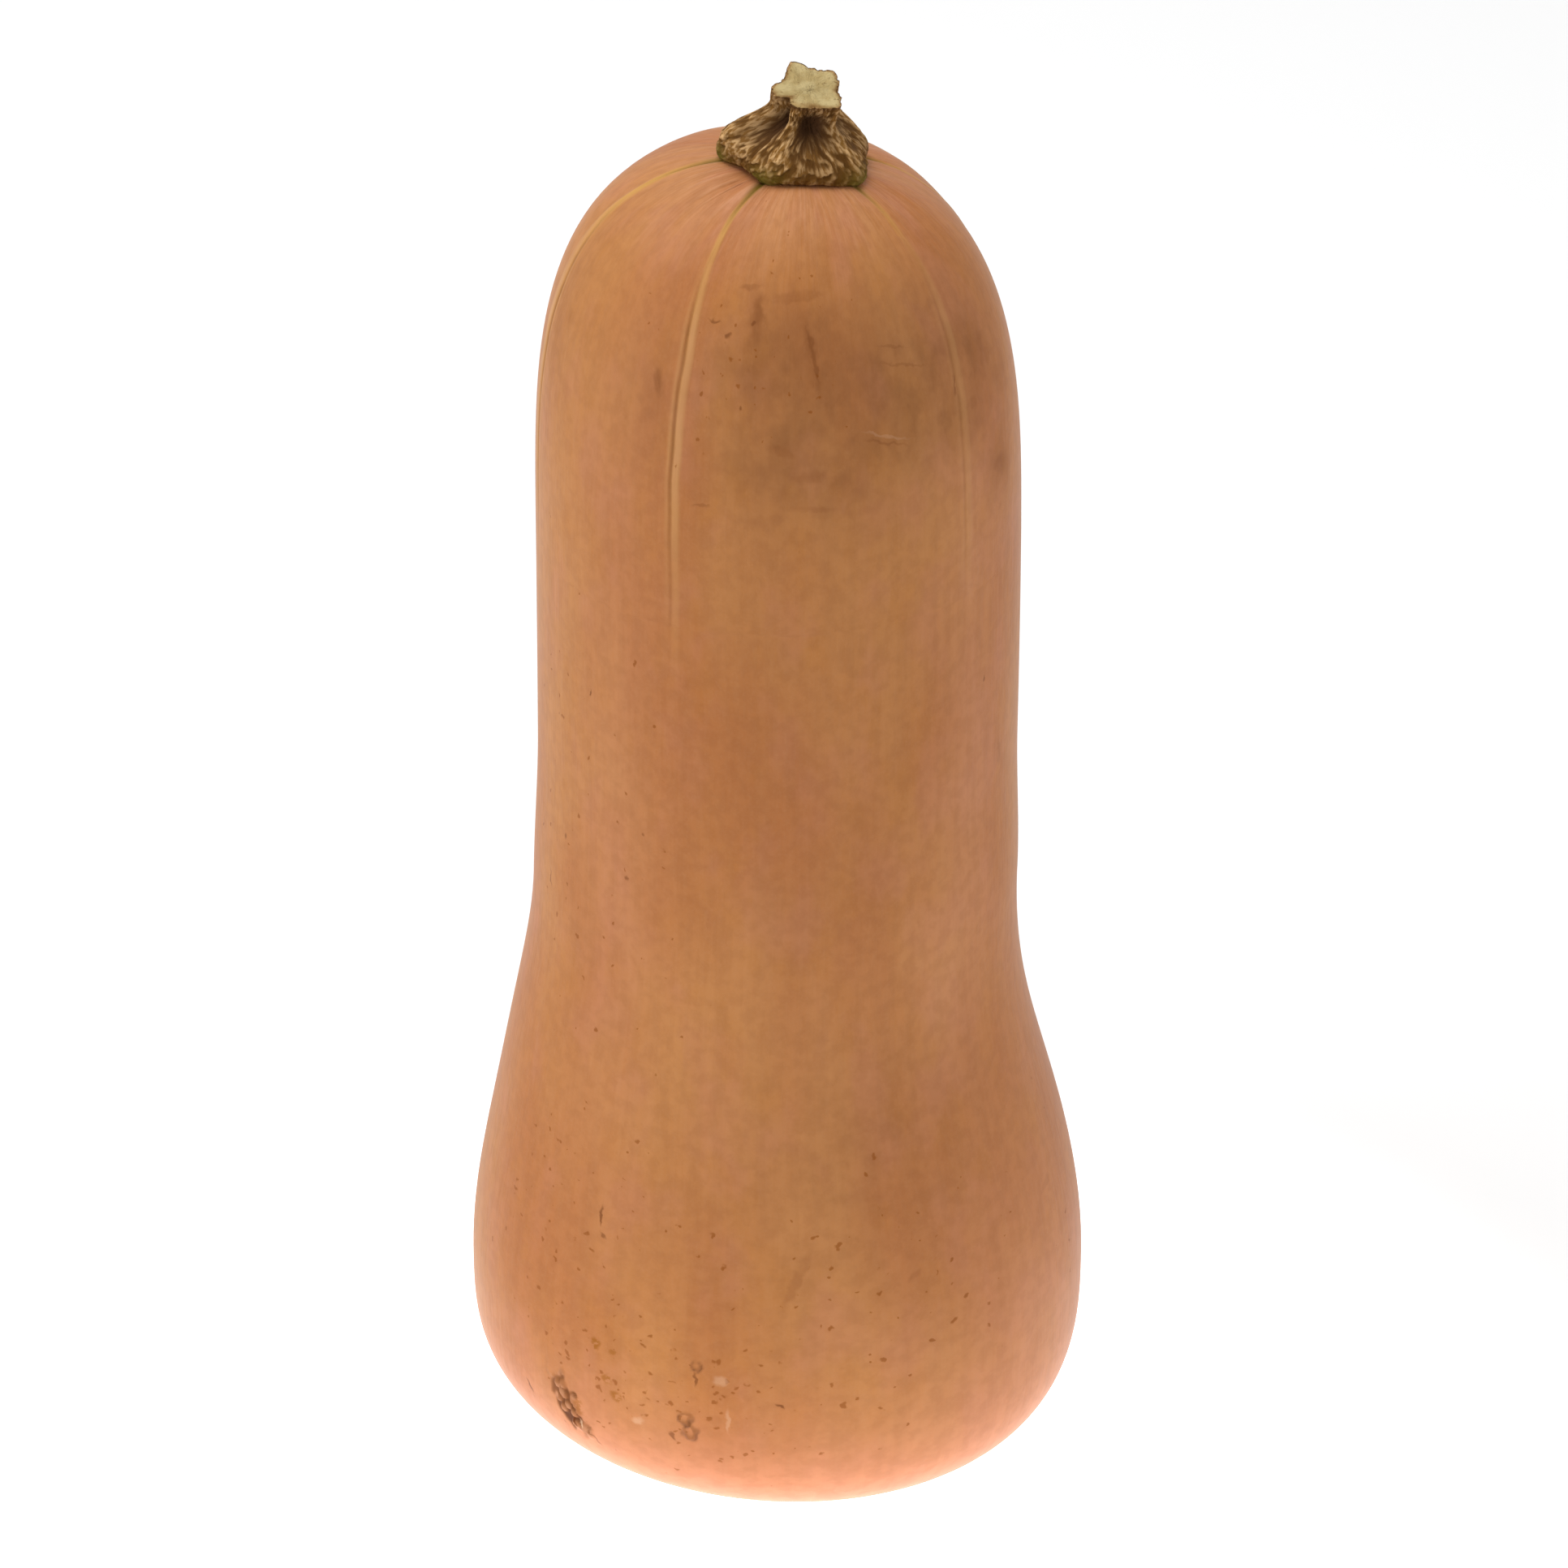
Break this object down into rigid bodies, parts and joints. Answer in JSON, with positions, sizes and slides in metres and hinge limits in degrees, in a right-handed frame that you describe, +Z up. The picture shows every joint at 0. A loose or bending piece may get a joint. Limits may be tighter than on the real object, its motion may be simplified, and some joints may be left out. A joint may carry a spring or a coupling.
{
  "type": "butternut squash",
  "caption": "Whole butternut squash with a short cut stem stub, long straight neck and round bulb, standing upright on its flat blossom end.",
  "frame": {"origin": "centre of the flat spot under the blossom end, on the surface the squash stands on", "axes": "+Z up along the fruit from blossom end to stem, -Y towards the front, where the rind's scars are, +X to the right seen from the front"},
  "size_m": [0.1116, 0.1116, 0.2662],
  "materials": {
    "rind": "smooth waxy plant skin, low satin gloss, tan orange",
    "stem": "dry corky plant stem, wrinkled, dull, pale cut face"
  },
  "bodies": {
    "root": {"squash_fruit": "rind", "stem_stub": "stem"}
  },
  "joints": []
}
